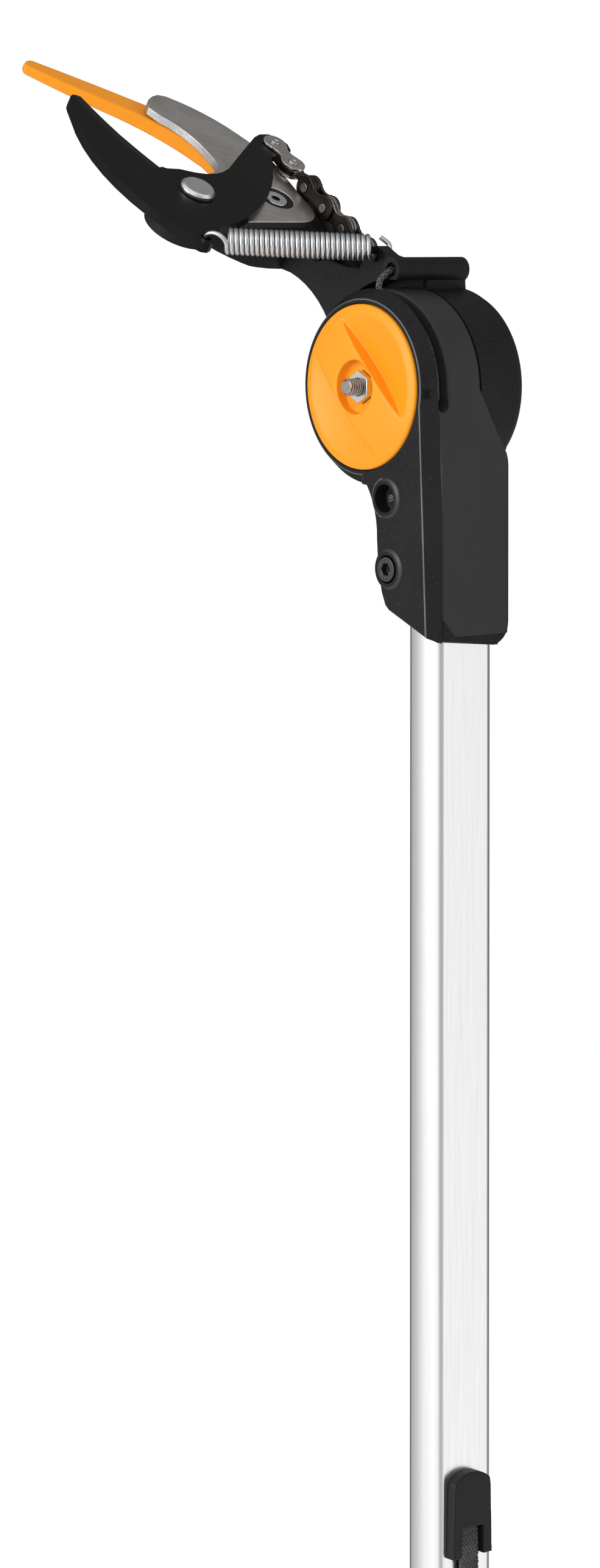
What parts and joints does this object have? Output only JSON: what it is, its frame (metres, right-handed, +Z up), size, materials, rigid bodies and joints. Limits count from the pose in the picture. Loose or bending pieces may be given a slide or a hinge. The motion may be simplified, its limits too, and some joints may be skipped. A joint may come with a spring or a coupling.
{
  "type": "tree pruner pole",
  "caption": "Pole tree pruner: bypass cutting head with hook finger on a tilting dial hinge, closed by a handle that slides on the pole through a strap, drums and a twisted chain.",
  "frame": {"origin": "centre of the butt's end face, on the pole's axis", "axes": "+Z up the pole to the head, -Y to the dial side, -X the way the cutting arm leans"},
  "size_m": [0.1894, 0.1002, 1.5764],
  "materials": {
    "pole_alu": "brushed lengthwise, clear anodised",
    "casing_plastic": "glass-filled, fine grain",
    "satin_plastic": "satin moulded",
    "orange_plastic": "satin gloss",
    "zinc_steel": "bright zinc plate",
    "blade_steel": "ground, bright at the cutting edge",
    "jaw_coat": "gloss black non-stick coat",
    "dark_steel": "oiled dark chain steel",
    "nickel": "nickel plate",
    "black_steel": "black oxide",
    "drum_plastic": "plain moulded",
    "braid": "woven polyester"
  },
  "bodies": {
    "pole": {"pole_tube": "pole_alu", "end_cap": "orange_plastic", "casing_rear": "satin_plastic", "casing_front": "casing_plastic", "clamp_screw": "black_steel", "clamp_nut": "zinc_steel", "axle_bolt": "zinc_steel", "strap_guide": "satin_plastic", "cord_knot": "braid", "cord": "braid", "strap": "braid"},
    "dial": {"dial_knob": "orange_plastic", "dial_nut": "zinc_steel"},
    "head": {"head_arm": "casing_plastic", "hub_cover": "satin_plastic", "cover_screws": "black_steel", "fixed_blade": "blade_steel", "hook_finger": "orange_plastic", "pivot_rivet": "zinc_steel", "blade_screw": "zinc_steel", "screw_ring": "satin_plastic", "return_spring": "zinc_steel"},
    "jaw": {"jaw": "jaw_coat"},
    "chain": {"chain_end_link": "nickel", "chain_twist_link": "dark_steel", "chain_outer_plates": "dark_steel", "chain_inner_plates": "dark_steel", "chain_rollers": "zinc_steel"},
    "drum": {"strap_drum": "drum_plastic", "chain_drum": "drum_plastic", "strap_winding": "braid", "chain_anchor": "dark_steel"},
    "slider": {"slide_handle": "satin_plastic", "slide_grip": "orange_plastic", "strap_pin": "zinc_steel"}
  },
  "joints": [
    {"name": "head_tilt", "type": "hinge", "parent": "pole", "child": "head", "pos_m": [-0.025, 0, 1.46], "axis": [0, -1, 0], "range_deg": [-75, 100], "deforming": ["cord"]},
    {"name": "dial_lock", "type": "hinge", "parent": "pole", "child": "dial", "pos_m": [-0.025, 0, 1.46], "axis": [0, -1, 0], "range_deg": [0, 90]},
    {"name": "jaw_close", "type": "hinge", "parent": "head", "child": "jaw", "pos_m": [-0.09015, -0.04, 1.526], "axis": [-0.5878, 0, -0.809], "range_deg": [0, 40], "stiffness_Nm_per_rad": 1.5, "springref_deg": -28.65, "deforming": ["return_spring"]},
    {"name": "chain_swing", "type": "hinge", "parent": "jaw", "child": "chain", "pos_m": [-0.11401, 0.0154, 1.5442], "axis": [0.5878, 0, 0.809], "range_deg": [0, 35.43]},
    {"name": "drum_spin", "type": "hinge", "parent": "head", "child": "drum", "pos_m": [-0.025, 0, 1.46], "axis": [0, 1, 0], "range_deg": [0, 153.8]},
    {"name": "handle_slide", "type": "slide", "parent": "pole", "child": "slider", "axis": [0, 0, -1], "range_m": [0, 0.0657], "deforming": ["strap"]}
  ],
  "couplings": [
    {"joint": "chain_swing", "follows": "jaw_close", "ratio": 0.8854},
    {"joint": "drum_spin", "follows": "jaw_close", "ratio": 3.8417},
    {"joint": "handle_slide", "follows": "jaw_close", "m_per_rad": 0.09393}
  ]
}
